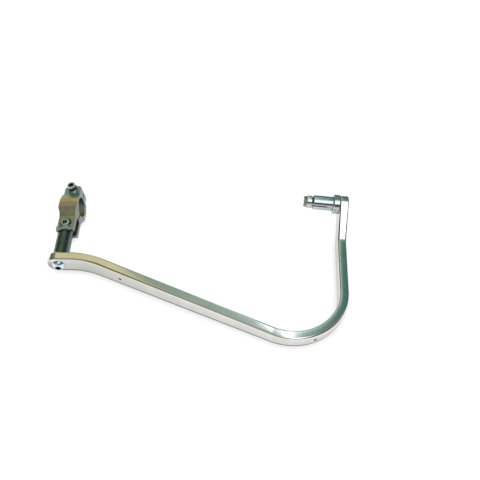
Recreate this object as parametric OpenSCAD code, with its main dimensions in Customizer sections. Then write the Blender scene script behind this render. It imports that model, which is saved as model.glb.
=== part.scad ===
// Hand guard for a motorcycle handlebar: a bent aluminium bar that bolts to a split
// clamp through a stand-off tube at its inboard end, and to an expanding plug in the
// open end of the handlebar at its outboard end.
// Units are millimetres. The origin is the centre of the clamp bore. X runs outboard
// along the grip, the bar bows out to the front on the Y minus side, Z is up.

/* [Guard bar] */
// thickness of the bar in the plane of the bow
bar_w = 10.5; // [7:0.5:14]
// height of the bar at the clamp end
bar_h = 22.6; // [16:0.2:28]
// height of the bar from the large bend to the bar end
bar_h_end = 17; // [13:0.5:22]
// radius on the long edges of the bar
bar_edge = 2.5; // [1:0.25:4]
// straight length beside the clamp end bolt
lead_len = 11; // [6:0.2:30]
// distance from the clamp end bolt to the middle of the round nose
nose_shift = 1.4; // [0:0.1:4]
// centre line radius of the small bend
small_bend_r = 90; // [50:1:140]
// angle of the small bend
small_bend_a = 23.2; // [10:0.2:35]
// length of the long straight
long_len = 195.4; // [120:0.2:240]
// centre line radius of the large bend
large_bend_r = 57.4; // [35:0.2:80]
// length of the straight leg after the large bend
leg_len = 63; // [30:0.5:110]
// centre line radius of the upward bend near the bar end
rise_bend_r = 24; // [18:0.5:40]
// angle of the upward bend
rise_a = 27; // [10:1:45]
// straight length from the upward bend to the bar end hole
rise_len = 39.8; // [25:0.1:50]
// radius of the eye at the bar end
eye_r = 11; // [9:0.25:14]
// chamfer round the eye at the bar end
eye_chamfer = 1.4; // [0.5:0.1:3]

/* [Stand off] */
// distance from the clamp bore axis to the middle of the bar
stand_off = 74.7; // [60:0.1:100]
// diameter of the stand off tube
tube_d = 16.6; // [15:0.1:18]
// chamfer on the ends of the stand off tube
tube_chamfer = 0.6; // [0.2:0.1:1.5]
// distance from the near clamp screw to the shoulder of the tube
shoulder_gap = 5.3; // [5:0.1:7]
// distance from the near clamp screw to the tip of the tongue on the tube
tongue_reach = 7.5; // [5:0.5:8]
// thickness of the tongue
tongue_t = 8; // [6:0.5:10]
// width of the tongue
tongue_w = 14; // [10:0.5:14]

/* [Handlebar clamp] */
// diameter of the handlebar that the clamp holds
handlebar_d = 22.2; // [20:0.1:30]
// radial clearance of the open clamp bore
clamp_clear = 0.05; // [0:0.01:0.2]
// width of the clamp along the handlebar
clamp_w = 22; // [18:0.5:30]
// outboard shift of the clamp from the stand off axis
clamp_shift = 2; // [0:0.1:3]
// gap between the two clamp halves at the bore
clamp_gap = 1.8; // [0.8:0.1:3]
// wall of the clamp over the bore
clamp_wall = 3; // [2.5:0.1:6]
// length of the flat crown toward the far side
crown_far = 2; // [0:0.5:6]
// length of the flat crown toward the stand off
crown_near = 8.5; // [4:0.5:10]
// height of the far lug faces from the split plane
far_h = 9.8; // [7:0.1:12]
// height of the near lug faces from the split plane
near_h = 8.6; // [8:0.1:10]
// step in of the lug sides from the clamp sides
lug_inset = 1.3; // [0.5:0.1:2]
// distance from the far screw to the far end of the clamp
far_edge = 8.5; // [7.5:0.5:12]
// distance from the near screw to the near end of the clamp
near_edge = 9.5; // [8:0.5:14]
// chamfer on the upright corners of the far lugs
corner_chamfer = 5.5; // [2:0.5:7]
// distance from the near screw to the start of the arch over the tube
arch_start = 2.5; // [1:0.5:5]
// wall of the socket round the stand off tube
socket_wall = 3.6; // [2.5:0.1:5]
// gap between the tip of the tongue and the end of its recess in the clamp
tongue_gap = 2.5; // [0.5:0.5:4]
// turn of the clamp toward the rear, seen from above
clamp_yaw = 5; // [0:0.5:10]
// upward tilt of the outboard end of the clamp
clamp_roll = 8; // [0:0.5:12]

/* [Clamp screws] */
// thread diameter of the clamp screws
screw_d = 6; // [5:1:8]
// diameter of the screw heads
screw_head_d = 10; // [8:0.5:11.5]
// height of the head of the far screw
screw_head_h = 6; // [4:0.5:7]
// height of the low head of the near screw
near_head_h = 4; // [3.5:0.5:6]
// distance from the wall of the bore to the axis of the far screw
far_offset = 9.35; // [7:0.05:14]
// distance from the wall of the bore to the axis of the near screw
near_offset = 17.85; // [16:0.05:26]
// outboard shift of the near screw from the stand off axis
near_screw_shift = 1.2; // [0:0.1:1.5]
// height of the counterbore floor from the split plane
near_seat = 6.5; // [6:0.1:8]
// radial clearance round the clamp screws
screw_clear = 0.3; // [0.1:0.05:0.6]
// diameter of the counterbores
counterbore_d = 12; // [11.8:0.1:13]
// diameter of the washer on the far lug
washer_d = 12; // [10:0.5:14]
// thickness of the washer on the far lug
washer_t = 1.2; // [0.8:0.1:2]
// distance across the flats of the clamp nuts
nut_af = 10; // [8:0.5:10]
// height of the clamp nuts
nut_h = 5; // [3:0.5:6]

/* [Bar bolt] */
// thread diameter of the bar bolt
bolt_d = 8; // [6:1:10]
// diameter of the bar bolt head
bolt_head_d = 14; // [12:0.5:16]
// height of the bar bolt head
bolt_head_h = 4.4; // [3:0.5:8]
// length of thread of the bar bolt in the tube
bolt_grip = 20; // [12:1:30]
// radial clearance round the bar bolt and the end bolt
bolt_clear = 0.3; // [0.1:0.05:0.6]

/* [Bar end plug] */
// diameter of the collar against the end of the handlebar
collar_d = 23; // [20:0.5:28]
// thickness of the collar
collar_t = 6.8; // [4:0.1:12]
// diameter of the expanding sleeve
sleeve_d = 17; // [13:0.5:19]
// length of the expanding sleeve
sleeve_len = 23; // [16:0.5:32]
// width of the saw cuts in the sleeve
saw_cut = 1.4; // [0.8:0.1:2.5]
// length of the saw cuts in the sleeve
saw_len = 16; // [10:0.5:24]
// diameter of the cone nut
cone_d = 15; // [12:0.5:17]
// length of the plain rim of the cone nut
cone_rim = 6; // [3:0.1:8]
// visible gap between the sleeve and the rim of the cone nut
cone_gap = 1.7; // [0.5:0.1:3]
// depth of the cone in the sleeve
cone_depth = 7; // [4:0.5:10]
// diameter of the lock plate at the inner end
plate_d = 12.4; // [10:0.2:15]
// thickness of the lock plate
plate_t = 3; // [2:0.1:5]

/* [Shield holes] */
// distance of the first tapped hole from the start of the long straight
shield_hole_at = 24.5; // [5:0.5:80]
// turn of the second tapped hole from the start of the large bend
shield_hole_turn = 43.5; // [5:1:80]
// diameter of the tapped holes for a hand shield
shield_hole_d = 3.3; // [2.5:0.1:5]
// depth of the tapped holes
shield_hole_depth = 7; // [4:0.5:9]

/* [Hidden] */
$fn = 64;
eps = 0.02;
lap_len = 0.5;
lap_step = 0.02;
fit_clear = 0.1;
long_a = clamp_yaw - small_bend_a;
large_bend_a = 90 - long_a;
bore_r = handlebar_d / 2 + clamp_clear;
far_screw = bore_r + far_offset;
near_screw = bore_r + near_offset;
far_reach = far_screw + far_edge;
near_reach = near_screw + near_edge;
tube_shoulder = near_screw + shoulder_gap;
tongue_tip = near_screw - tongue_reach;
lip_reach = tongue_tip - tongue_gap;
tube_r = tube_d / 2;
crown_h = bore_r + clamp_wall;
bar_face = stand_off - bar_w / 2;
screw_r = screw_d / 2;
bolt_r = bolt_d / 2;
end_chamfer = 4.2;
near_chamfer = 2;
arch_len = near_edge - arch_start;
socket_r = tube_r + socket_wall;
screw_tip = 1.5;
screw_af = screw_d * 5 / 6;
bolt_af = bolt_d * 3 / 4;
end_af = bolt_d * 5 / 8;
end_socket = bolt_d * 0.325;
sink_r = bolt_d;
sink_depth = sink_r - bolt_r;
sink_face = 0.4;
cone_root_r = cone_d / 2 - 0.7;
cone_tip_r = cone_root_r - 2;
plug_len = collar_t + sleeve_len + cone_gap + cone_rim + plate_t;

// Corners of the bar section, each edge rounded in three short flats
function section_points(w, h) = [
    for (q = [0:3], k = [0:3])
        let (
            a = 90 * q + 30 * k,
            sx = q == 0 || q == 3 ? 1 : -1,
            sy = q < 2 ? 1 : -1
        )
            [sx * (w / 2 - bar_edge) + bar_edge * cos(a), sy * (h / 2 - bar_edge) + bar_edge * sin(a)]
];

// Section of the bar with rounded corners, less a little all round where it laps into a straight
module section(h, less = 0) {
    polygon(section_points(bar_w - 2 * less, h - 2 * less));
}

// Straight piece of bar along X
module straight(len, h) {
    rotate([90, 0, 90])
        linear_extrude(height = len)
            section(h);
}

// Straight piece of bar whose height changes along X
module tapered(len, h0, h1) {
    hull() {
        straight(eps, h0);
        translate([len - eps, 0, 0])
            straight(eps, h1);
    }
}

// Turn of a bend that laps it into the straight beside it
function lap_turn(r) = lap_len / r * 180 / PI;

// Bend to the right, seen from above, starting along X
module bend_right(r, a, h) {
    translate([0, -r, 0])
        rotate([0, 0, 90 - a - lap_turn(r)])
            rotate_extrude(angle = a + 2 * lap_turn(r))
                translate([r, 0])
                    section(h, lap_step);
}

// Bend to the left, seen from above, starting along X
module bend_left(r, a, h) {
    translate([0, r, 0])
        rotate([0, 0, -90 - lap_turn(r)])
            rotate_extrude(angle = a + 2 * lap_turn(r))
                translate([r, 0])
                    section(h, lap_step);
}

// Moves to the end of each kind of piece
module after_straight(len) {
    translate([len, 0, 0])
        children();
}

module after_right(r, a) {
    translate([r * sin(a), -r * (1 - cos(a)), 0])
        rotate([0, 0, -a])
            children();
}

module after_left(r, a) {
    translate([r * sin(a), r * (1 - cos(a)), 0])
        rotate([0, 0, a])
            children();
}

// Frame of the clamp, with X on the bore axis and the stand off on the Y minus side
module clamp_frame() {
    rotate([0, 0, clamp_yaw])
        rotate([0, -clamp_roll, 0])
            children();
}

// Frame on the stand off axis, in the clamp frame, with Z toward the clamp
module tube_frame() {
    clamp_frame()
        translate([-clamp_shift, 0, 0])
            rotate([-90, 0, 0])
                children();
}

// Frame at the clamp end of the bar, with X along the bar
module bar_frame() {
    clamp_frame()
        translate([-clamp_shift, -stand_off, 0])
            rotate([0, clamp_roll, 0])
                children();
}

// Frame at the start of the upward bend, with X along the leg
module leg_end_frame() {
    bar_frame()
        after_straight(lead_len)
            after_right(small_bend_r, small_bend_a)
                after_straight(long_len)
                    after_left(large_bend_r, large_bend_a)
                        after_straight(leg_len)
                            children();
}

// Frame at the middle of the bar end eye, with X along the raised end of the leg
module eye_frame() {
    leg_end_frame()
        translate([rise_bend_r * sin(rise_a), 0, rise_bend_r * (1 - cos(rise_a))])
            rotate([0, -rise_a, 0])
                after_straight(rise_len)
                    children();
}

// Frame of the plug, with Z outboard and its origin on the inner face of the eye
module plug_frame() {
    eye_frame()
        translate([0, bar_w / 2, 0])
            rotate([90, 0, 0])
                children();
}

// Round nose at the start of the bar, turned from half the bar section
module nose(h) {
    rotate([90, 0, 0])
        rotate_extrude()
            intersection() {
                rotate(90)
                    section(h, lap_step);
                translate([0, -bar_w])
                    square([h, 2 * bar_w]);
            }
}

// Upward bend at the end of the leg, starting along X
module bend_up(r, a, h) {
    rotate([90, 0, 0])
        translate([0, r, 0])
            rotate([0, 0, -90 - lap_turn(r)])
                rotate_extrude(angle = a + 2 * lap_turn(r))
                    translate([r, 0])
                        rotate(90)
                            section(h, lap_step);
}

// Flared end of the leg round the bar end hole
module flared_end() {
    c = eye_chamfer;
    w = bar_w;
    h = bar_h_end;
    hull() {
        for (s = [0, c]) {
            rotate([90, 0, 0])
                cylinder(r = eye_r - s, h = w - 2 * (c - s), center = true);
            translate([-rise_len, -(w - 2 * (c - s)) / 2, s - h / 2])
                cube([eps, w - 2 * (c - s), h - 2 * s]);
        }
    }
}

// Tapped hole from the outer face of the bar, in a frame with X along the bar
module shield_hole() {
    translate([0, -bar_w / 2 - eps, 0])
        rotate([-90, 0, 0])
            cylinder(d = shield_hole_d, h = shield_hole_depth + eps, $fn = 32);
}

module guard_bar() color([0.8, 0.81, 0.8]) {
    difference() {
        union() {
            bar_frame() {
                translate([-nose_shift, 0, 0]) {
                    nose(bar_h);
                    straight(nose_shift + lead_len, bar_h);
                }
                after_straight(lead_len) {
                    bend_right(small_bend_r, small_bend_a, bar_h);
                    after_right(small_bend_r, small_bend_a) {
                        tapered(long_len, bar_h, bar_h_end);
                        after_straight(long_len) {
                            bend_left(large_bend_r, large_bend_a, bar_h_end);
                            after_left(large_bend_r, large_bend_a)
                                straight(leg_len, bar_h_end);
                        }
                    }
                }
            }
            leg_end_frame()
                bend_up(rise_bend_r, rise_a, bar_h_end);
            eye_frame()
                flared_end();
        }
        // Hole for the bar bolt
        tube_frame()
            translate([0, 0, -stand_off - bar_w])
                cylinder(r = bolt_r + bolt_clear, h = 2 * bar_w);
        // Countersunk hole for the end bolt
        plug_frame() {
            translate([0, 0, -1])
                cylinder(r = bolt_r + bolt_clear, h = bar_w + 2);
            translate([0, 0, bar_w - sink_face - sink_depth])
                cylinder(r1 = bolt_r, r2 = sink_r, h = sink_depth);
            translate([0, 0, bar_w - sink_face])
                cylinder(r = sink_r, h = sink_face + 1);
        }
        // Tapped holes for a hand shield
        bar_frame()
            after_straight(lead_len)
                after_right(small_bend_r, small_bend_a) {
                    after_straight(shield_hole_at)
                        shield_hole();
                    after_straight(long_len)
                        after_left(large_bend_r, shield_hole_turn)
                            shield_hole();
                }
    }
}

// Cap screw head with a hexagon socket, seat at the origin, Z out of the head
module cap_head(d, h, af) {
    difference() {
        union() {
            cylinder(d = d, h = h - 0.5);
            translate([0, 0, h - 0.5])
                cylinder(d1 = d, d2 = d - 1, h = 0.5);
        }
        translate([0, 0, h * 0.45])
            cylinder(d = af / cos(30), h = h, $fn = 6);
    }
}

// Domed screw head with a hexagon socket, seat at the origin, Z out of the head
module button_head(d, h, af) {
    dome_r = (d * d / 4 + h * h) / (2 * h);
    difference() {
        intersection() {
            cylinder(d = d, h = h);
            translate([0, 0, h * 1.08 - dome_r])
                sphere(r = dome_r, $fn = 96);
        }
        translate([0, 0, h * 0.4])
            cylinder(d = af / cos(30), h = h, $fn = 6);
    }
}

module bar_bolt() color([0.75, 0.76, 0.78]) {
    tube_frame()
        translate([0, 0, -stand_off - bar_w / 2]) {
            mirror([0, 0, 1])
                button_head(bolt_head_d, bolt_head_h, bolt_af);
            cylinder(r = bolt_r, h = bar_w + bolt_grip);
        }
}

module standoff_tube() color([0.13, 0.15, 0.14]) {
    c = tube_chamfer;
    len = bar_face - tube_shoulder;
    difference() {
        tube_frame() {
            translate([0, 0, -bar_face]) {
                cylinder(r1 = tube_r - c, r2 = tube_r, h = c);
                translate([0, 0, c])
                    cylinder(r = tube_r, h = len - 2 * c);
                translate([0, 0, len - c])
                    cylinder(r1 = tube_r, r2 = tube_r - c, h = c);
            }
            translate([-tongue_w / 2, -tongue_t / 2, -tube_shoulder - 1])
                cube([tongue_w, tongue_t, tube_shoulder - tongue_tip + 1]);
        }
        tube_frame()
            translate([0, 0, -bar_face - 1])
                cylinder(r = bolt_r + fit_clear, h = bolt_grip + 3);
        near_screw_frame()
            translate([0, 0, -tongue_t])
                cylinder(r = screw_r + screw_clear, h = 2 * tongue_t);
    }
}

// Frames of the two clamp screws, with Z up
module near_screw_frame() {
    clamp_frame()
        translate([near_screw_shift - clamp_shift, -near_screw, 0])
            children();
}

module far_screw_frame() {
    clamp_frame()
        translate([0, far_screw, 0])
            children();
}

// Side profile of one clamp half, with X to the rear and Y up from the split plane
module half_profile() {
    polygon([
        [far_reach, clamp_gap / 2],
        [far_reach, far_h - end_chamfer],
        [far_reach - end_chamfer, far_h],
        [far_screw - washer_d / 2 - 0.4, far_h],
        [crown_far, crown_h],
        [-crown_near, crown_h],
        [-lip_reach, near_h],
        [-near_reach, near_h],
        [-near_reach, tongue_t / 2],
        [-lip_reach, tongue_t / 2],
        [-lip_reach, clamp_gap / 2]
    ]);
}

// Outline of the clamp seen from above, wider at the bore than at the lugs
module half_outline() {
    w = clamp_w / 2;
    v = w - lug_inset;
    c = corner_chamfer;
    side = [[v, -near_reach], [v, -14], [w, -10], [w, 10], [v, 14], [v, far_reach - c - 1],
        [v - c, far_reach]];
    polygon(concat(side, [for (i = [len(side) - 1:-1:0]) [-side[i][0], side[i][1]]]));
}

// One clamp half above the split plane, in the clamp frame
module clamp_half(sunk) {
    difference() {
        union() {
            intersection() {
                translate([-clamp_w / 2, 0, 0])
                    rotate([90, 0, 90])
                        linear_extrude(height = clamp_w)
                            half_profile();
                linear_extrude(height = 2 * crown_h)
                    half_outline();
            }
            // Arch over the stand off tube
            intersection() {
                translate([-clamp_shift, 0, 0])
                    rotate([90, 0, 0]) {
                        cylinder(r = socket_r, h = near_reach - near_chamfer);
                        translate([0, 0, near_reach - near_chamfer])
                            cylinder(r1 = socket_r, r2 = socket_r - near_chamfer, h = near_chamfer);
                    }
                translate([-clamp_w, -near_reach, tongue_t / 2])
                    cube([2 * clamp_w, arch_len, crown_h]);
            }
        }
        // Handlebar bore with a small chamfer at each mouth
        translate([-clamp_w, 0, 0])
            rotate([0, 90, 0])
                cylinder(r = bore_r, h = 2 * clamp_w, $fn = 128);
        for (s = [0, 1])
            mirror([s, 0, 0])
                translate([clamp_w / 2 - 0.7, 0, 0])
                    rotate([0, 90, 0])
                        cylinder(r1 = bore_r, r2 = bore_r + 0.8, h = 0.8, $fn = 128);
        // Socket for the tube
        translate([-clamp_shift, -near_reach - 1, 0])
            rotate([-90, 0, 0])
                cylinder(r = tube_r, h = near_reach - tube_shoulder + 1);
        // Screw holes, with a counterbore beside the stand off
        translate([near_screw_shift - clamp_shift, -near_screw, 0]) {
            cylinder(r = screw_r + screw_clear, h = crown_h + 1);
            translate([0, 0, sunk])
                cylinder(d = counterbore_d, h = crown_h);
        }
        translate([0, far_screw, 0])
            cylinder(r = screw_r + screw_clear, h = crown_h + 1);
    }
}

module clamp_upper() color([0.66, 0.62, 0.54]) {
    clamp_frame()
        clamp_half(near_seat);
}

module clamp_lower() color([0.66, 0.64, 0.58]) {
    clamp_frame()
        mirror([0, 0, 1])
            clamp_half(near_h);
}

// Clamp screw with its head seat and nut face at the given heights
module clamp_screw(seat, foot, head_h) {
    translate([0, 0, seat])
        cap_head(screw_head_d, head_h, screw_af);
    translate([0, 0, -foot - nut_h - screw_tip])
        cylinder(r = screw_r, h = seat + foot + nut_h + screw_tip);
}

// Nut below a lug whose lower face is at the given depth
module clamp_nut(foot) {
    translate([0, 0, -foot - nut_h])
        difference() {
            intersection() {
                cylinder(d = nut_af / cos(30), h = nut_h, $fn = 6);
                translate([0, 0, -nut_af / 2 + 1])
                    cylinder(r1 = 0, r2 = nut_af + 1, h = nut_af + 1);
            }
            translate([0, 0, -1])
                cylinder(r = screw_r + fit_clear, h = nut_h + 2);
        }
}

module near_screw() color([0.75, 0.77, 0.8]) {
    near_screw_frame()
        clamp_screw(near_seat, near_h, near_head_h);
}

module far_screw() color([0.75, 0.77, 0.8]) {
    far_screw_frame()
        clamp_screw(far_h + washer_t, far_h, screw_head_h);
}

module far_washer() color([0.7, 0.72, 0.72]) {
    far_screw_frame()
        translate([0, 0, far_h])
            difference() {
                cylinder(d = washer_d, h = washer_t);
                translate([0, 0, -1])
                    cylinder(r = screw_r + screw_clear, h = washer_t + 2);
            }
}

module near_nut() color([0.7, 0.71, 0.74]) {
    near_screw_frame()
        clamp_nut(near_h);
}

module far_nut() color([0.7, 0.71, 0.74]) {
    far_screw_frame()
        clamp_nut(far_h);
}

module end_bolt() color([0.72, 0.73, 0.75]) {
    plug_frame()
        difference() {
            union() {
                translate([0, 0, -plug_len - 0.5])
                    cylinder(r = bolt_r, h = plug_len + 0.5 + bar_w - sink_face - sink_depth);
                translate([0, 0, bar_w - sink_face - sink_depth])
                    cylinder(r1 = bolt_r, r2 = sink_r, h = sink_depth);
            }
            translate([0, 0, bar_w - sink_face - end_socket])
                cylinder(d = end_af / cos(30), h = end_socket + 1, $fn = 6);
        }
}

module end_collar() color([0.78, 0.79, 0.79]) {
    c = 0.6;
    plug_frame()
        translate([0, 0, -collar_t])
            difference() {
                union() {
                    cylinder(d1 = collar_d - 2 * c, d2 = collar_d, h = c);
                    translate([0, 0, c])
                        cylinder(d = collar_d, h = collar_t - c);
                }
                translate([0, 0, -1])
                    cylinder(r = bolt_r + bolt_clear, h = collar_t + 2);
            }
}

module expander_sleeve() color([0.74, 0.76, 0.76]) {
    slope = (cone_root_r - cone_tip_r) / (cone_gap + cone_depth);
    plug_frame()
        translate([0, 0, -collar_t - sleeve_len])
            difference() {
                union() {
                    cylinder(d1 = sleeve_d - 1, d2 = sleeve_d, h = 0.5);
                    translate([0, 0, 0.5])
                        cylinder(d = sleeve_d, h = sleeve_len - 0.5);
                }
                translate([0, 0, -1])
                    cylinder(r = bolt_r + bolt_clear, h = sleeve_len + 2);
                translate([0, 0, -cone_gap])
                    cylinder(r1 = cone_root_r, r2 = cone_tip_r, h = cone_gap + cone_depth);
                for (a = [45, 135])
                    rotate([0, 0, a])
                        translate([-sleeve_d, -saw_cut / 2, -1])
                            cube([2 * sleeve_d, saw_cut, saw_len + 1]);
            }
}

module cone_nut() color([0.75, 0.76, 0.78]) {
    plug_frame()
        translate([0, 0, -collar_t - sleeve_len - cone_gap - cone_rim])
            difference() {
                union() {
                    cylinder(d1 = cone_d - 1, d2 = cone_d, h = 0.5);
                    translate([0, 0, 0.5])
                        cylinder(d = cone_d, h = cone_rim - 0.5);
                    translate([0, 0, cone_rim])
                        cylinder(r1 = cone_root_r, r2 = cone_tip_r, h = cone_gap + cone_depth);
                }
                translate([0, 0, -1])
                    cylinder(r = bolt_r + fit_clear, h = cone_rim + cone_gap + cone_depth + 2);
            }
}

module lock_plate() color([0.5, 0.47, 0.4]) {
    plug_frame()
        translate([0, 0, -plug_len])
            difference() {
                union() {
                    cylinder(d1 = plate_d - 0.8, d2 = plate_d, h = 0.4);
                    translate([0, 0, 0.4])
                        cylinder(d = plate_d, h = plate_t - 0.4);
                }
                translate([0, 0, -1])
                    cylinder(r = bolt_r + fit_clear, h = plate_t + 2);
            }
}

guard_bar();
bar_bolt();
standoff_tube();
clamp_upper();
clamp_lower();
near_screw();
far_screw();
far_washer();
near_nut();
far_nut();
end_bolt();
end_collar();
expander_sleeve();
cone_nut();
lock_plate();
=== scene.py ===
import math

import bmesh
import bpy
from mathutils import Matrix, Vector


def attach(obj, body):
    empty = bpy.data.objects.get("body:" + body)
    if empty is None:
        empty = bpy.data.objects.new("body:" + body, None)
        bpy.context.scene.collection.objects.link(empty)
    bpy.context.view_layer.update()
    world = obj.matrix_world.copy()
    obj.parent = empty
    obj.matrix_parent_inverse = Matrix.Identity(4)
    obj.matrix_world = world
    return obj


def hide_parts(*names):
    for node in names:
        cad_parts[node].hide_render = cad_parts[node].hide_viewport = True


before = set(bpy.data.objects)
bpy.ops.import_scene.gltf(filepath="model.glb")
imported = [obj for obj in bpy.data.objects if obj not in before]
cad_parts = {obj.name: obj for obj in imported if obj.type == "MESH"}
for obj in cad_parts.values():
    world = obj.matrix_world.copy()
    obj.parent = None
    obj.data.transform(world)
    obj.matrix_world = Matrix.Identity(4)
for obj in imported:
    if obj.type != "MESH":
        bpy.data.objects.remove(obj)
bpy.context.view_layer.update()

# Sizes of the guard in millimetres and degrees, the same as in its CAD source where both have them
MM = 0.001
BAR_W = 10.5
BAR_H = 22.6
BAR_H_END = 17
BAR_EDGE = 2.5
LEAD_LEN = 11
NOSE_SHIFT = 1.4
SMALL_BEND_R = 90
SMALL_BEND_A = 23.2
LONG_LEN = 195.4
LARGE_BEND_R = 57.4
LEG_LEN = 63
RISE_BEND_R = 24
RISE_A = 27
RISE_LEN = 39.8
EYE_R = 11
EYE_EDGE = 1.7
STAND_OFF = 74.7
TUBE_R = 8.3
TUBE_CHAMFER = 0.6
TONGUE_T = 8
TONGUE_W = 14
CLAMP_SHIFT = 2
CLAMP_YAW = 5
CLAMP_ROLL = 8
CLAMP_W = 22
CLAMP_GAP = 1.8
BORE_R = 11.15
CROWN_H = BORE_R + 3
CROWN_FAR = 2
CROWN_NEAR = 8.5
FAR_H = 9.8
NEAR_H = 8.6
LUG_INSET = 1.3
CHEEK = 10
CHEEK_END = 14
FAR_SCREW = BORE_R + 9.35
NEAR_SCREW = BORE_R + 17.85
NEAR_SCREW_SHIFT = 1.2
FAR_REACH = FAR_SCREW + 8.5
NEAR_REACH = NEAR_SCREW + 9.5
TUBE_SHOULDER = NEAR_SCREW + 5.3
TONGUE_TIP = NEAR_SCREW - 7.5
LIP_REACH = TONGUE_TIP - 2.5
ARCH_LEN = 7
SOCKET_R = TUBE_R + 3.6
END_CHAMFER = 4.2
CORNER_CHAMFER = 5.5
NEAR_SEAT = 6.5
SCREW_R = 3
SCREW_HOLE_R = SCREW_R + 0.3
SCREW_KEY = 5
SCREW_DARK_R = 3.5
THREAD_CLEAR = 0.1
THREAD_PITCH = 1
THREAD_DEPTH = 0.45
THREAD_SHOWN = 6
KNURL_TEETH = 36
KNURL_DEPTH = 0.22
SCREW_HEAD_R = 5
SCREW_HEAD_H = 6
NEAR_HEAD_H = 4
SCREW_TIP = 1.5
COUNTERBORE_R = 6
WASHER_R = 6
WASHER_T = 1.2
NUT_AF = 10
NUT_H = 5
BOLT_R = 4
BOLT_HOLE_R = BOLT_R + 0.3
BOLT_KEY = 6
BOLT_DARK_R = 3.9
BOLT_GRIP = 20
BOLT_HEAD_R = 7
BOLT_HEAD_H = 4.4
SINK_R = 8
SINK_FACE = 0.4
COLLAR_R = 11.5
COLLAR_T = 6.8
SLEEVE_R = 8.5
SLEEVE_LEN = 23
SAW_CUT = 1.4
SAW_LEN = 16
CONE_R = 7.5
CONE_RIM = 6
CONE_GAP = 1.7
CONE_DEPTH = 7
CONE_ROOT = CONE_R - 0.7
CONE_TIP = CONE_ROOT - 2
PLATE_R = 6.2
PLATE_T = 3
SLEEVE_LOW = -COLLAR_T - SLEEVE_LEN
CONE_LOW = SLEEVE_LOW - CONE_GAP - CONE_RIM
PLATE_LOW = CONE_LOW - PLATE_T
SHIELD_HOLE_AT = 24.5
SHIELD_HOLE_TURN = 43.5
SHIELD_HOLE_R = 1.65
SHIELD_HOLE_DEPTH = 7

# Meshing of the castings and of the wider turned pieces
CAST_VOXEL = 0.32
CAST_PASSES = 5
FINE_STEPS = 128

# The bar's girth, and the lengths over which the bar and the clamp change colour
BAR_GIRTH = 64
NOSE_SPAN = 40
NEAR_CLAMP_SHADE_SPAN = 250
REFLECTION_BAND_SPAN = 80


def linear(r, g, b):
    """Scene colour of a display colour given in 0 to 255."""
    out = []
    for v in (r, g, b):
        v /= 255
        out.append(v / 12.92 if v <= 0.04045 else ((v + 0.055) / 1.055) ** 2.4)
    return (*out, 1)


def move(x, y, z):
    return Matrix.Translation((x, y, z))


def turn(axis, degrees):
    return Matrix.Rotation(math.radians(degrees), 4, axis)


# Frames along the guard
CLAMP = turn("Z", CLAMP_YAW) @ turn("Y", -CLAMP_ROLL)
TUBE = CLAMP @ move(-CLAMP_SHIFT, 0, 0) @ turn("X", -90)
BAR = CLAMP @ move(-CLAMP_SHIFT, -STAND_OFF, 0) @ turn("Y", CLAMP_ROLL)


def along_bend(radius, degrees):
    """Frame after a bend in the plane of the bar, left for a positive angle."""
    side = math.copysign(1, degrees)
    a = math.radians(abs(degrees))
    return move(radius * math.sin(a), side * radius * (1 - math.cos(a)), 0) @ turn("Z", degrees)


def along_rise(radius, degrees):
    """Frame after a bend upward."""
    a = math.radians(degrees)
    return move(radius * math.sin(a), 0, radius * (1 - math.cos(a))) @ turn("Y", -degrees)


LARGE_BEND_A = 90 - (CLAMP_YAW - SMALL_BEND_A)
LONG_START = BAR @ move(LEAD_LEN, 0, 0) @ along_bend(SMALL_BEND_R, -SMALL_BEND_A)
LONG_END = LONG_START @ move(LONG_LEN, 0, 0)
LEG_START = LONG_END @ along_bend(LARGE_BEND_R, LARGE_BEND_A)
LEG_END = LEG_START @ move(LEG_LEN, 0, 0)
RISE_START = LEG_END @ along_rise(RISE_BEND_R, RISE_A)
EYE = RISE_START @ move(RISE_LEN, 0, 0)
PLUG = EYE @ move(0, BAR_W / 2, 0) @ turn("X", 90)
NEAR_FRAME = CLAMP @ move(NEAR_SCREW_SHIFT - CLAMP_SHIFT, -NEAR_SCREW, 0)
FAR_FRAME = CLAMP @ move(0, FAR_SCREW, 0)


# Mesh helpers, all in millimetres until new_object
def rounded(points, closed=False, steps=4):
    """Points (x, y, radius) to a line whose corners are rounded."""
    out, n = [], len(points)
    for i, (x, y, r) in enumerate(points):
        if r == 0 or (not closed and i in (0, n - 1)):
            out.append((x, y))
            continue
        p = Vector((x, y))
        a = Vector(points[i - 1][:2]) - p
        b = Vector(points[(i + 1) % n][:2]) - p
        half = a.angle(b) / 2
        d = min(r / math.tan(half), a.length * 0.49, b.length * 0.49)
        centre = p + (a.normalized() + b.normalized()).normalized() * (d / math.cos(half))
        va, vb = p + a.normalized() * d - centre, p + b.normalized() * d - centre
        sweep = math.atan2(va.x * vb.y - va.y * vb.x, va.dot(vb))
        for k in range(steps + 1):
            t = sweep * k / steps
            out.append((centre.x + va.x * math.cos(t) - va.y * math.sin(t),
                        centre.y + va.x * math.sin(t) + va.y * math.cos(t)))
    return out


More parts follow.
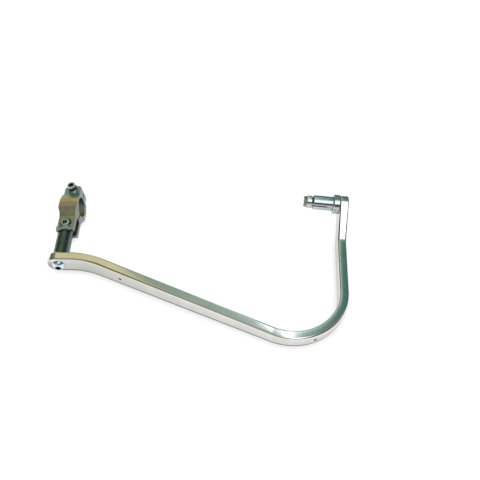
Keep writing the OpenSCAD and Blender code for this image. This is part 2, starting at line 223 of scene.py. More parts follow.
def lathe(profile, steps=96, teeth=0, tooth_depth=0.0, tooth_z=(0, 0)):
    """Body turned about Z from points (r, z); an open profile starts and ends on the axis."""
    bm = bmesh.new()
    rows = []
    closed = profile[0][0] > 1e-6
    for r, z in profile:
        if r < 1e-6:
            rows.append([bm.verts.new((0, 0, z))])
            continue
        row = []
        for k in range(steps):
            a = 2 * math.pi * k / steps
            rr = r
            if teeth and tooth_z[0] < z < tooth_z[1]:
                rr -= tooth_depth * (0.5 - 0.5 * math.cos(teeth * a))
            row.append(bm.verts.new((rr * math.cos(a), rr * math.sin(a), z)))
        rows.append(row)
    pairs = list(zip(rows, rows[1:]))
    if closed:
        pairs.append((rows[-1], rows[0]))
    for a, b in pairs:
        for k in range(steps):
            j = (k + 1) % steps
            face = [a[k % len(a)], a[j % len(a)], b[j % len(b)], b[k % len(b)]]
            face = [v for i, v in enumerate(face) if v not in face[:i]]
            if len(face) > 2:
                bm.faces.new(face)
    bmesh.ops.recalc_face_normals(bm, faces=bm.faces)
    return bm


def prism(points, low, high):
    """Straight body over a closed outline in XY, between two heights."""
    bm = bmesh.new()
    bottom = [bm.verts.new((x, y, low)) for x, y in points]
    top = [bm.verts.new((x, y, high)) for x, y in points]
    bm.faces.new(bottom)
    bm.faces.new(top)
    for i in range(len(points)):
        j = (i + 1) % len(points)
        bm.faces.new((bottom[i], bottom[j], top[j], top[i]))
    bmesh.ops.recalc_face_normals(bm, faces=bm.faces)
    return bm


def box(x0, x1, y0, y1, z0, z1):
    return prism([(x0, y0), (x1, y0), (x1, y1), (x0, y1)], z0, z1)


def cylinder(r, low, high, steps=96):
    return lathe([(0, low), (r, low), (r, high), (0, high)], steps)


def hexagon(across_flats, low, high):
    r = across_flats / 2 / math.cos(math.pi / 6)
    corners = [math.pi * k / 3 for k in range(6)]
    return prism([(r * math.cos(a), r * math.sin(a)) for a in corners], low, high)


def placed(bm, matrix):
    bm.transform(matrix)
    if matrix.determinant() < 0:
        bmesh.ops.reverse_faces(bm, faces=bm.faces)
    return bm


def temporary(bm):
    mesh = bpy.data.meshes.new("temporary")
    bm.to_mesh(mesh)
    bm.free()
    o = bpy.data.objects.new("temporary", mesh)
    bpy.context.scene.collection.objects.link(o)
    return o


def applied(o, *others):
    """Bmesh of an object with its modifiers; it and the others are then removed."""
    bpy.context.view_layer.update()
    mesh = bpy.data.meshes.new_from_object(o.evaluated_get(bpy.context.evaluated_depsgraph_get()))
    bm = bmesh.new()
    bm.from_mesh(mesh)
    bpy.data.meshes.remove(mesh)
    for t in (o, *others):
        data = t.data
        bpy.data.objects.remove(t)
        bpy.data.meshes.remove(data)
    return bm


def combined(body, operation, *tools):
    body = temporary(body)
    tools = [temporary(t) for t in tools]
    for t in tools:
        m = body.modifiers.new("combine", "BOOLEAN")
        m.operation = operation
        m.object = t
        m.solver = "EXACT"
    return applied(body, *tools)


def cut(body, *tools):
    return combined(body, "DIFFERENCE", *tools)


def darkened(bm, radius, low, high, knurl=None):
    """Gives the walls and mouth of a socket, and a knurled side, the dark metal of the painted shade."""
    bm.normal_update()
    for f in bm.faces:
        c = f.calc_center_median()
        out = math.hypot(c.x, c.y)
        inside = out < radius and low < c.z < high and abs(f.normal.z) < 0.85
        around = knurl is not None and out > radius and knurl[0] < c.z < knurl[1]
        f.material_index = int(inside or around)
    return bm


def softened(bm, voxel, passes):
    """The same body with every edge rounded, as a casting has."""
    o = temporary(bm)
    m = o.modifiers.new("remesh", "REMESH")
    m.mode = "VOXEL"
    m.voxel_size = voxel
    bm = applied(o)
    for _ in range(passes):
        bmesh.ops.smooth_vert(bm, verts=bm.verts, factor=0.5,
                              use_axis_x=True, use_axis_y=True, use_axis_z=True)
    return bm


def new_object(name, bm, material, slot, nodes, smooth_angle=35):
    """Finished piece in metres that stands for the given nodes; steel also gets the dark metal of the
    socket's painted shade.
    """
    bm.transform(Matrix.Scale(MM, 4))
    mesh = bpy.data.meshes.new(name)
    bm.to_mesh(mesh)
    bm.free()
    mesh.materials.append(material)
    if slot == "bright_steel":
        mesh.materials.append(SOCKET_SHADE_METAL)
    for p in mesh.polygons:
        p.use_smooth = True
    o = bpy.data.objects.new(name, mesh)
    bpy.context.scene.collection.objects.link(o)
    if smooth_angle < 180:
        mesh.set_sharp_from_angle(angle=math.radians(smooth_angle))
        m = o.modifiers.new("weighted normals", "WEIGHTED_NORMAL")
        m.keep_sharp = True
        m.weight = 100
    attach(o, "root")
    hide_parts(*nodes)
    return o


# Node helpers
class Nodes:
    """A node tree that is built up step by step."""

    def __init__(self, tree):
        self.tree = tree
        self.tree.nodes.clear()

    def add(self, kind, **values):
        n = self.tree.nodes.new(kind)
        for k, v in values.items():
            setattr(n, k, v)
        return n

    def link(self, a, b):
        self.tree.links.new(a, b)

    def split(self, vector):
        """The three parts of a vector."""
        n = self.add("ShaderNodeSeparateXYZ")
        self.link(vector, n.inputs[0])
        return n.outputs

    def ramp(self, fac, *stops):
        """Colours or plain levels at positions from 0 to 1."""
        n = self.add("ShaderNodeValToRGB")
        r = n.color_ramp
        while len(r.elements) < len(stops):
            r.elements.new(1)
        for e, (at, color) in zip(r.elements, stops):
            e.position = at
            e.color = color if isinstance(color, tuple) else (color, color, color, 1)
        self.link(fac, n.inputs[0])
        return n.outputs[0]

    def mix(self, fac, a, b, blend="MIX"):
        n = self.add("ShaderNodeMix", data_type="RGBA", blend_type=blend)
        for socket, value in ((n.inputs[0], fac), (n.inputs[6], a), (n.inputs[7], b)):
            if isinstance(value, bpy.types.NodeSocket):
                self.link(value, socket)
            else:
                socket.default_value = value
        return n.outputs[2]

    def maths(self, operation, a, b):
        n = self.add("ShaderNodeMath", operation=operation)
        for socket, value in ((n.inputs[0], a), (n.inputs[1], b)):
            if isinstance(value, bpy.types.NodeSocket):
                self.link(value, socket)
            else:
                socket.default_value = value
        return n.outputs[0]

    def openness(self, reach):
        """1 in the open, and less where other metal is near, within a reach in mm."""
        n = self.add("ShaderNodeAmbientOcclusion")
        n.samples = 8
        n.inputs["Distance"].default_value = reach * MM
        return n.outputs["AO"]


class Look(Nodes):
    """A metal material."""

    def __init__(self, name, color, roughness):
        self.material = bpy.data.materials.new(name)
        self.material.use_nodes = True
        super().__init__(self.material.node_tree)
        out = self.add("ShaderNodeOutputMaterial")
        self.shader = self.add("ShaderNodeBsdfPrincipled")
        self.shader.inputs["Base Color"].default_value = color
        self.shader.inputs["Metallic"].default_value = 1.0
        self.shader.inputs["Roughness"].default_value = roughness
        self.link(self.shader.outputs[0], out.inputs["Surface"])
        self.coordinates = self.add("ShaderNodeTexCoord")

    def scaled(self, source, per_mm):
        """Coordinates times a scale on each axis; Object is in metres and UV in mm."""
        place = self.add("ShaderNodeMapping")
        unit = 1 if source == "UV" else 1 / MM
        for i in range(3):
            place.inputs["Scale"].default_value[i] = per_mm[i] * unit
        self.link(self.coordinates.outputs[source], place.inputs["Vector"])
        return place.outputs[0]

    def noise(self, per_mm, detail=3.0, source="Object", rough=0.5):
        """Noise with the given count of features a millimetre on each axis."""
        n = self.add("ShaderNodeTexNoise")
        n.inputs["Scale"].default_value = 1
        n.inputs["Detail"].default_value = detail
        n.inputs["Roughness"].default_value = rough
        self.link(self.scaled(source, per_mm), n.inputs["Vector"])
        return n.outputs["Fac"]

    def facing(self):
        """The three parts of the surface's direction."""
        return self.split(self.add("ShaderNodeNewGeometry").outputs["Normal"])

    def color(self, socket):
        self.link(socket, self.shader.inputs["Base Color"])

    def occlusion_shaded(self, socket, reach, lowest):
        """Painted shade: darker down to a lowest share where other metal is near, within a reach in mm."""
        shade = self.ramp(self.openness(reach), (0.25, lowest), (0.85, 1.0))
        return self.mix(1.0, socket, shade, "MULTIPLY")

    def roughness(self, socket):
        self.link(socket, self.shader.inputs["Roughness"])

    def bump(self, *layers):
        """Layers of (height, depth in mm, strength), laid one over the other."""
        normal = None
        for height, depth, strength in layers:
            n = self.add("ShaderNodeBump")
            n.inputs["Distance"].default_value = depth * MM
            n.inputs["Strength"].default_value = strength
            self.link(height, n.inputs["Height"])
            if normal:
                self.link(normal, n.inputs["Normal"])
            normal = n.outputs[0]
        self.link(normal, self.shader.inputs["Normal"])


def bar_look():
    """Drawn and tumbled aluminium with fine lines along the bar."""
    k = Look("bar aluminium", (0.86, 0.87, 0.86, 1), 0.2)
    cloud = k.noise((0.06, 0.06, 0.06), 4)
    lines = k.noise((0.02, 7, 1), 3, "UV")
    grain = k.noise((2.2, 2.2, 2.2), 2)
    nicks = k.noise((0.35, 0.35, 0.35), 5, rough=0.7)
    tone = k.ramp(cloud, (0.3, (0.77, 0.775, 0.74, 1)), (0.7, (0.89, 0.895, 0.87, 1)))
    tone = k.mix(k.ramp(lines, (0.35, 0.16), (0.65, 0.0)), tone, (0.62, 0.63, 0.62, 1))
    tone = k.mix(k.ramp(nicks, (0.70, 0.0), (0.78, 0.5)), tone, (0.5, 0.5, 0.49, 1))
    # Painted shade darkens the downward faces, and a thin painted contact shadow runs along the foot of the
    # outer side
    slope = k.facing()
    upward, sideways = k.maths("ADD", slope["Z"], 1.0), k.maths("ADD", slope["Y"], 1.0)
    tone = k.mix(k.ramp(upward, (0.55, 1.0), (0.85, 0.0)), tone, (0.12, 0.12, 0.1, 1))
    along, around, _ = k.split(k.coordinates.outputs["UV"])
    foot_shadow_line = ((37.8, 0.0), (39, 1.0), (44, 1.0), (45.5, 0.0))
    foot = k.ramp(k.maths("MULTIPLY", around, 1 / BAR_GIRTH), *((at / BAR_GIRTH, v) for at, v in foot_shadow_line))
    tone = k.mix(foot, tone, (0.05, 0.05, 0.04, 1))
    # Painted shade greys the outer side near the clamp
    outer = k.ramp(sideways, (0.1, 0.4), (0.4, 0.0))
    near_clamp_shade = k.ramp(k.maths("MULTIPLY", along, 1 / NEAR_CLAMP_SHADE_SPAN), (0.25, 1.0), (0.75, 0.0))
    tone = k.mix(k.maths("MULTIPLY", outer, near_clamp_shade), tone, (0.5, 0.5, 0.43, 1))
    # Painted shade darkens the sawn nose, most of all on its flat side
    nose = k.ramp(k.maths("MULTIPLY", along, 1 / NOSE_SPAN), (0.08, 1.0), (0.24, 0.0))
    rim = k.ramp(sideways, (0.06, 0.0), (0.3, 1.0))
    dull = k.mix(rim, (0.36, 0.38, 0.32, 1), (0.7, 0.73, 0.66, 1))
    k.color(k.mix(k.maths("MULTIPLY", nose, 0.8), tone, dull))
    k.roughness(k.maths("ADD", k.ramp(lines, (0.3, 0.05), (0.7, 0.1)), k.maths("MULTIPLY", grain, 0.03)))
    k.bump((cloud, 0.2, 0.3), (lines, 0.006, 0.25), (grain, 0.005, 0.15))
    return k.material


def tube_look():
    """Dark anodised tube with turning lines."""
    k = Look("dark anodised tube", (0.11, 0.125, 0.1, 1), 0.34)
    blotch = k.noise((0.15, 0.15, 0.15), 4)
    rings = k.noise((0.05, 5, 0.05), 2)
    tone = k.ramp(blotch, (0.3, (0.115, 0.155, 0.13, 1)), (0.7, (0.17, 0.215, 0.185, 1)))
    # Painted shade darkens the colour where other metal is near
    k.color(k.occlusion_shaded(tone, 4, 0.3))
    k.roughness(k.ramp(rings, (0.3, 0.28), (0.7, 0.42)))
    k.bump((rings, 0.012, 0.5), (blotch, 0.05, 0.2))
    return k.material


def clamp_look():
    """Satin aluminium with a slight yellow tint of its own, and painted reflections in gold, rose and teal
    bands across it.
    """
    k = Look("clamp metal", (0.6, 0.57, 0.49, 1), 0.38)
    _, y, z = k.split(k.scaled("Object", (1, 1, 1)))
    drift = k.noise((0.09, 0.05, 0.09), 3)
    fine = k.noise((0.5, 0.2, 0.5), 4)
    film_and_reflection_band = k.maths("ADD", y, k.maths("MULTIPLY", k.maths("SUBTRACT", drift, 0.5), 9))
    film_and_reflection_band = k.maths("ADD", film_and_reflection_band, k.maths("MULTIPLY", k.maths("SUBTRACT", fine, 0.5), 3))
    film_and_reflection_band = k.maths("ADD", k.maths("MULTIPLY", film_and_reflection_band, 1 / REFLECTION_BAND_SPAN), 0.5)

    def at(y):
        return y / REFLECTION_BAND_SPAN + 0.5

    # Painted reflections from the lug over the tube, over the crown, to the far lug
    tint = k.ramp(film_and_reflection_band,
                  (at(-38), (0.5, 0.56, 0.5, 1)), (at(-20), (0.46, 0.56, 0.48, 1)),
                  (at(-15), (0.64, 0.64, 0.5, 1)), (at(-11), (0.66, 0.6, 0.58, 1)),
                  (at(-6), (0.6, 0.64, 0.55, 1)), (at(-4.2), (0.8, 0.42, 0.28, 1)),
                  (at(-1.8), (1.0, 0.82, 0.34, 1)), (at(3), (0.95, 0.93, 0.44, 1)),
                  (at(7.5), (0.6, 0.82, 0.86, 1)), (at(16), (0.58, 0.74, 0.7, 1)),
                  (at(28), (0.6, 0.68, 0.64, 1)))
    # Painted reflections: gold patches on the near slope and a rose blush over the middle
    patch = k.ramp(k.noise((0.16, 0.2, 0.16), 2), (0.5, 0.0), (0.55, 0.65))
    near_side = k.ramp(film_and_reflection_band, (at(-23), 0.0), (at(-20), 1.0), (at(-15), 1.0), (at(-12), 0.0))
    tint = k.mix(k.maths("MULTIPLY", patch, near_side), tint, (1.0, 0.84, 0.42, 1))
    blush = k.ramp(k.noise((0.22, 0.12, 0.22), 2), (0.5, 0.0), (0.56, 0.5))
    middle = k.ramp(film_and_reflection_band, (at(-16), 0.0), (at(-13), 1.0), (at(-9), 1.0), (at(-7), 0.0))
    tint = k.mix(k.maths("MULTIPLY", blush, middle), tint, (0.85, 0.66, 0.66, 1))
    # The painted reflections show on the upward faces and fade down the sides to a plain grey, painted
    # lighter lower down
    plain = k.ramp(k.maths("ADD", k.maths("MULTIPLY", z, 1 / 40), 0.5),
                   (0.25, (0.35, 0.36, 0.35, 1)), (0.5, (0.26, 0.29, 0.27, 1)), (0.8, (0.2, 0.24, 0.21, 1)))
    tint = k.mix(k.ramp(k.facing()["Z"], (0.35, 0.0), (0.75, 1.0)), plain, tint)
    mottle = k.noise((0.5, 0.5, 0.5), 5, rough=0.6)
    tint = k.mix(k.ramp(mottle, (0.35, 0.0), (0.7, 0.4)), tint, (0.46, 0.48, 0.44, 1))
    # Painted shade darkens the colour where other metal is near
    k.color(k.occlusion_shaded(tint, 4, 0.3))
    pits = k.noise((1.4, 1.4, 1.4), 3)
    k.roughness(k.ramp(mottle, (0.3, 0.3), (0.7, 0.46)))
    k.bump((mottle, 0.08, 0.3), (pits, 0.03, 0.25))
    return k.material


def steel_look():
    """Bright zinc plated steel."""
    k = Look("zinc plated steel", (0.78, 0.82, 0.84, 1), 0.16)
    film_and_reflection_band = k.noise((0.3, 0.3, 0.3), 3)
    grain = k.noise((3, 3, 3), 3)
    tone = k.ramp(film_and_reflection_band, (0.3, (0.58, 0.82, 0.98, 1)), (0.55, (0.74, 0.92, 1.0, 1)),
                  (0.75, (0.84, 0.93, 0.94, 1)))
    # Painted shade darkens the colour where other metal is near
    k.color(k.occlusion_shaded(tone, 1, 0.25))
    k.roughness(k.ramp(grain, (0.3, 0.14), (0.7, 0.3)))
    k.bump((grain, 0.01, 0.3), (film_and_reflection_band, 0.03, 0.15))
    return k.material


def socket_look():
    """Painted shade: dark metal for the sockets and the knurled sides, where shade falls."""
    k = Look("dark socket", (0.06, 0.07, 0.07, 1), 0.3)
    socket_noise = k.noise((0.8, 0.8, 0.8), 4)
    k.color(k.ramp(socket_noise, (0.3, (0.03, 0.04, 0.04, 1)), (0.7, (0.12, 0.14, 0.13, 1))))
    k.roughness(k.ramp(socket_noise, (0.3, 0.2), (0.7, 0.4)))
    k.bump((socket_noise, 0.03, 0.3))
    return k.material


def plug_look():
    """Bright turned aluminium with fine tool rings."""
    k = Look("turned aluminium", (0.86, 0.88, 0.88, 1), 0.12)
    rings = k.noise((9, 0.02, 0.02), 2)
    smear = k.noise((0.2, 0.5, 0.5), 4)
    tone = k.ramp(smear, (0.3, (0.5, 0.57, 0.57, 1)), (0.7, (0.6, 0.65, 0.65, 1)))
    # Painted shade darkens the colour where other metal is near
    k.color(k.occlusion_shaded(tone, 3, 0.25))
    k.roughness(k.maths("ADD", k.ramp(rings, (0.3, 0.07), (0.7, 0.15)), k.maths("MULTIPLY", smear, 0.06)))
    k.bump((rings, 0.006, 0.5), (smear, 0.05, 0.2))
    return k.material


def plate_look():
    """Dull olive steel of the lock plate."""
    k = Look("dull plate", (0.3, 0.27, 0.2, 1), 0.4)
    mottle = k.noise((0.6, 0.6, 0.6), 5, rough=0.65)
    grain = k.noise((3, 3, 3), 2)
    k.color(k.ramp(mottle, (0.3, (0.2, 0.18, 0.12, 1)), (0.7, (0.42, 0.4, 0.3, 1))))
    k.roughness(k.ramp(grain, (0.3, 0.32), (0.7, 0.5)))
    k.bump((mottle, 0.05, 0.4), (grain, 0.015, 0.3))
    return k.material


BAR_METAL, TUBE_METAL, CLAMP_METAL = bar_look(), tube_look(), clamp_look()
STEEL, PLUG_METAL, PLATE_METAL = steel_look(), plug_look(), plate_look()
SOCKET_SHADE_METAL = socket_look()


# The guard bar: one sweep with a round nose, two bends, a rise and a flared eye
def half_section(width, height, edge, steps=7):
    """Middle of one side, over the top, to the middle of the other side."""
    w, h = width / 2, height / 2
    out = [(w, 0), (w, (h - edge) * 0.5)]
    for k in range(steps + 1):
        a = math.pi / 2 * k / steps
        out.append((w - edge + edge * math.cos(a), h - edge + edge * math.sin(a)))
    out.append((0, h))
    return out + [(-y, z) for y, z in reversed(out[:-1])]


def ring(frame_at, top, up_turn=0.0):
    """Full ring of points; each half is turned away from the upright by up_turn degrees."""
    upper, lower = [], []
    s, c = math.sin(math.radians(up_turn)), math.cos(math.radians(up_turn))
    for y, z in top:
        upper.append(frame_at @ Vector((z * s, y, z * c)))
        lower.append(frame_at @ Vector((z * s, y, -z * c)))
    return upper + lower[-2:0:-1]


def bar_rings():
    def section(height):
        return half_section(BAR_W, height, BAR_EDGE)

    # The round nose, the lead and the small bend
    out = []
    nose = BAR @ move(-NOSE_SHIFT, 0, 0)
    for k in range(33):
        out.append(ring(nose, section(BAR_H), -90 + 90 * k / 32))
    out.append(ring(BAR @ move(LEAD_LEN * 0.4, 0, 0), section(BAR_H)))
    for k in range(13):
        bend = along_bend(SMALL_BEND_R, -max(SMALL_BEND_A * k / 12, 1e-6))
        out.append(ring(BAR @ move(LEAD_LEN, 0, 0) @ bend, section(BAR_H)))
    # The long run, which gets lower toward the large bend, and that bend
    for k in range(1, 25):
        t = k / 25
        out.append(ring(LONG_START @ move(LONG_LEN * t, 0, 0), section(BAR_H + (BAR_H_END - BAR_H) * t)))
    for k in range(73):
        bend = along_bend(LARGE_BEND_R, max(LARGE_BEND_A * k / 72, 1e-6))
        out.append(ring(LONG_END @ bend, section(BAR_H_END)))
    # The leg and the rise
    for k in range(1, 9):
        out.append(ring(LEG_START @ move(LEG_LEN * k / 9, 0, 0), section(BAR_H_END)))
    for k in range(19):
        rise = along_rise(RISE_BEND_R, max(RISE_A * k / 18, 1e-6))
        out.append(ring(LEG_END @ rise, section(BAR_H_END)))

    # The eye: straight flanks to where they touch the round, then the round itself
    half = BAR_H_END / 2
    far = math.hypot(RISE_LEN, half)
    over = math.degrees(math.atan2(half, -RISE_LEN) - math.acos(EYE_R / far)) - 90
    eye = half_section(BAR_W, 2 * EYE_R, EYE_EDGE)
    first = ring(RISE_START, section(BAR_H_END))
    last = ring(EYE, eye, -over)
    for k in range(1, 15):
        out.append([a.lerp(b, k / 14) for a, b in zip(first, last)])
    for k in range(1, 41):
        out.append(ring(EYE, eye, -over + (90 + over) * k / 40))
    return out


def guard_bar():
    """Sweep with its holes; its UV is in mm, along the bar and around it from the inner side."""
    bm = bmesh.new()
    uv = bm.loops.layers.uv.new("along and around")
    rows = bar_rings()
    verts = [[bm.verts.new(p) for p in row] for row in rows]
    count = len(rows[0])
    around = [0.0]
    full = rows[40]
    for i in range(count):
        around.append(around[-1] + (full[(i + 1) % count] - full[i]).length)
    length = 0.0
    for n in range(len(rows) - 1):
        step = sum((a - b).length for a, b in zip(rows[n], rows[n + 1])) / count
        a, b = verts[n], verts[n + 1]
        for i in range(count):
            j = (i + 1) % count
            f = bm.faces.new((a[i], a[j], b[j], b[i]))
            where = ((length, around[i]), (length, around[i + 1]),
                     (length + step, around[i + 1]), (length + step, around[i]))
            for loop, at in zip(f.loops, where):
                loop[uv].uv = at
        length += step
    bmesh.ops.remove_doubles(bm, verts=bm.verts, dist=1e-3)
    bmesh.ops.recalc_face_normals(bm, faces=bm.faces)

    # Holes with a small chamfer at each mouth, as tools that reach past the metal
    front = -STAND_OFF - BAR_W / 2
    bolt_hole = lathe([(0, front - 1), (BOLT_R + 1.6, front - 1), (BOLT_HOLE_R, front + 0.3),
                       (BOLT_HOLE_R, front + BAR_W - 0.3), (BOLT_R + 1.6, front + BAR_W + 1),
                       (0, front + BAR_W + 1)])
    depth = SINK_R - BOLT_R
    face = BAR_W - SINK_FACE
    eye_hole = lathe([(0, -1), (BOLT_R + 1.5, -1), (BOLT_HOLE_R, 0.3), (BOLT_HOLE_R, face - depth + 0.3),
                      (SINK_R, face), (SINK_R, BAR_W - 0.2), (SINK_R + 1.2, BAR_W + 1), (0, BAR_W + 1)])
    shield = lathe([(0, -1), (SHIELD_HOLE_R + 1.25, -1), (SHIELD_HOLE_R, 0.25),
                    (SHIELD_HOLE_R, SHIELD_HOLE_DEPTH), (0, SHIELD_HOLE_DEPTH + 1)], 48)
    into_bar = move(0, -BAR_W / 2, 0) @ turn("X", -90)
    holes = [placed(bolt_hole, TUBE), placed(eye_hole, PLUG),
             placed(shield.copy(), LONG_START @ move(SHIELD_HOLE_AT, 0, 0) @ into_bar),
             placed(shield, LONG_END @ along_bend(LARGE_BEND_R, SHIELD_HOLE_TURN) @ into_bar)]
    return cut(bm, *holes)


new_object("guard_bar_sweep", guard_bar(), BAR_METAL, "bar", ["guard_bar"])


# Screws, bolts and nuts
def socket(across_flats, floor, top):
    """Tools for a hexagon socket with a conical floor and a chamfered mouth."""
    r = across_flats / 2 / math.cos(math.pi / 6)
    key = hexagon(across_flats, floor, top + 1)
    drill_r = across_flats / 2 * 0.98
    drill = lathe([(0, floor - 0.3 * across_flats / 2), (drill_r, floor), (drill_r, top), (0, top)], 48)
    mouth = lathe([(0, top - 0.5), (r - 0.55, top - 0.5), (r + 0.55, top + 0.6), (0, top + 0.6)], 48)
    return key, drill, mouth


def cap_screw(seat, foot, head):
    """Cap screw with a knurled head and a cut thread at its tip."""
    top = seat + head
    low = -foot - NUT_H - SCREW_TIP
    r = SCREW_HEAD_R
    outline = rounded([(0, low, 0), (SCREW_R - 0.5, low, 0), (SCREW_R, low + 0.5, 0), (SCREW_R, seat, 0),
                       (r - 0.3, seat, 0.1), (r, seat + 0.3, 0), (r, top - 0.9, 0.2), (r - 0.5, top, 0.35),
                       (0, top, 0)], steps=3)
    detailed = []
    for a, b in zip(outline, outline[1:]):
        detailed.append(a)
        if a[0] == b[0] == r:
            detailed += [(r, seat + 0.45), (r, seat + 0.65), (r, top - 1.3), (r, top - 1.1)]
        if a[0] == b[0] == SCREW_R:
            z = low + 0.75
            while z < low + THREAD_SHOWN:
                detailed += [(SCREW_R, z), (SCREW_R - THREAD_DEPTH, z + 0.45), (SCREW_R, z + 0.9)]
                z += THREAD_PITCH
    detailed.append(outline[-1])
    body = lathe(detailed, 4 * KNURL_TEETH, KNURL_TEETH, KNURL_DEPTH, (seat + 0.5, top - 1.2))
    floor_z = seat + 0.45 * head
    body = cut(body, *socket(SCREW_KEY, floor_z, top))
    return darkened(body, SCREW_DARK_R, floor_z, top - 0.01, (seat + 0.5, top - 1.1))


near_screw = placed(cap_screw(NEAR_SEAT, NEAR_H, NEAR_HEAD_H), NEAR_FRAME @ turn("Z", 12))
far_screw = placed(cap_screw(FAR_H + WASHER_T, FAR_H, SCREW_HEAD_H), FAR_FRAME @ turn("Z", -9))
new_object("near_clamp_screw", near_screw, STEEL, "bright_steel", ["near_screw"])
new_object("far_clamp_screw", far_screw, STEEL, "bright_steel", ["far_screw"])


def hex_nut(foot):
    """Nut with chamfered corners and a countersunk bore."""
    r = NUT_AF / 2 / math.cos(math.pi / 6)
    top = -foot
    cone = lathe([(0, top - NUT_H), (NUT_AF / 2 - 0.1, top - NUT_H), (r + 0.5, top - NUT_H + 0.75),
                  (r + 0.5, top), (0, top)])
    body = combined(hexagon(NUT_AF, top - NUT_H, top), "INTERSECT", cone)
    inner = SCREW_R + THREAD_CLEAR
    bore = lathe([(0, top - NUT_H - 1), (SCREW_R + 1.7, top - NUT_H - 1), (inner, top - NUT_H + 0.6),
                  (inner, top + 1), (0, top + 1)])
    return cut(body, bore)


new_object("near_clamp_nut", placed(hex_nut(NEAR_H), NEAR_FRAME), STEEL, "bright_steel", ["near_nut"])
new_object("far_clamp_nut", placed(hex_nut(FAR_H), FAR_FRAME), STEEL, "bright_steel", ["far_nut"])

washer = rounded([(SCREW_HOLE_R, FAR_H, 0.12), (WASHER_R, FAR_H, 0.15), (WASHER_R, FAR_H + WASHER_T, 0.35),
                  (SCREW_HOLE_R, FAR_H + WASHER_T, 0.12)], closed=True, steps=3)
new_object("washer", placed(lathe(washer), FAR_FRAME), STEEL, "bright_steel", ["far_washer"])


def bar_bolt():
    """Low domed head with a wide socket; the head rises along Z from the bar."""
    dome = (BOLT_HEAD_R ** 2 + BOLT_HEAD_H ** 2) / (2 * BOLT_HEAD_H)
    centre = BOLT_HEAD_H * 1.08 - dome
    edge = math.acos(BOLT_HEAD_R / dome)
    low = -BAR_W - BOLT_GRIP
    points = [(0, low, 0), (BOLT_R, low, 0), (BOLT_R, 0, 0), (BOLT_HEAD_R, 0, 0.15)]
    rim = centre + dome * math.sin(edge)
    flat = math.asin(min(1, (BOLT_HEAD_H - centre) / dome))
    points.append((BOLT_HEAD_R, max(rim, 0.3), 0.2))
    line = rounded(points + [(BOLT_HEAD_R - 0.3, rim + 0.25, 0)], steps=3)[:-1]
    for k in range(1, 25):
        a = edge + (flat - edge) * k / 24
        line.append((dome * math.cos(a), centre + dome * math.sin(a)))
    line.append((0, line[-1][1]))
    floor_z = 0.25 * BOLT_HEAD_H
    body = cut(lathe(line), *socket(BOLT_KEY, floor_z, BOLT_HEAD_H))
    return darkened(body, BOLT_DARK_R, floor_z, BOLT_HEAD_H - 0.01)


head_out = TUBE @ move(0, 0, -STAND_OFF - BAR_W / 2) @ turn("X", 180)
new_object("button_bolt", placed(bar_bolt(), head_out @ turn("Z", 20)), STEEL, "bright_steel", ["bar_bolt"])


# Stand-off tube with its flat tongue
def standoff():
    """Tube with a bore for the bar's bolt and a drilled tongue at the clamp."""
    c = TUBE_CHAMFER
    low, high = -STAND_OFF + BAR_W / 2, -TUBE_SHOULDER
    line = rounded([(0, low, 0), (TUBE_R - c, low, 0.15), (TUBE_R, low + c, 0.3), (TUBE_R, high - c, 0.3),
                    (TUBE_R - c, high, 0.15), (0, high, 0)], steps=3)
    outline = rounded([(-TONGUE_W / 2, -TONGUE_T / 2, 0.5), (TONGUE_W / 2, -TONGUE_T / 2, 0.5),
                       (TONGUE_W / 2, TONGUE_T / 2, 0.5), (-TONGUE_W / 2, TONGUE_T / 2, 0.5)], closed=True)
    body = combined(lathe(line, FINE_STEPS), "UNION", prism(outline, high - 1, -TONGUE_TIP))
    bolt = cylinder(BOLT_R + THREAD_CLEAR, low - 1, low + BOLT_GRIP + 2)
    screw = placed(cylinder(SCREW_HOLE_R, -TONGUE_T, TONGUE_T), TUBE.inverted() @ NEAR_FRAME)
    return cut(body, bolt, screw)


new_object("tube_with_tongue", placed(standoff(), TUBE), TUBE_METAL, "dark_tube", ["standoff_tube"])


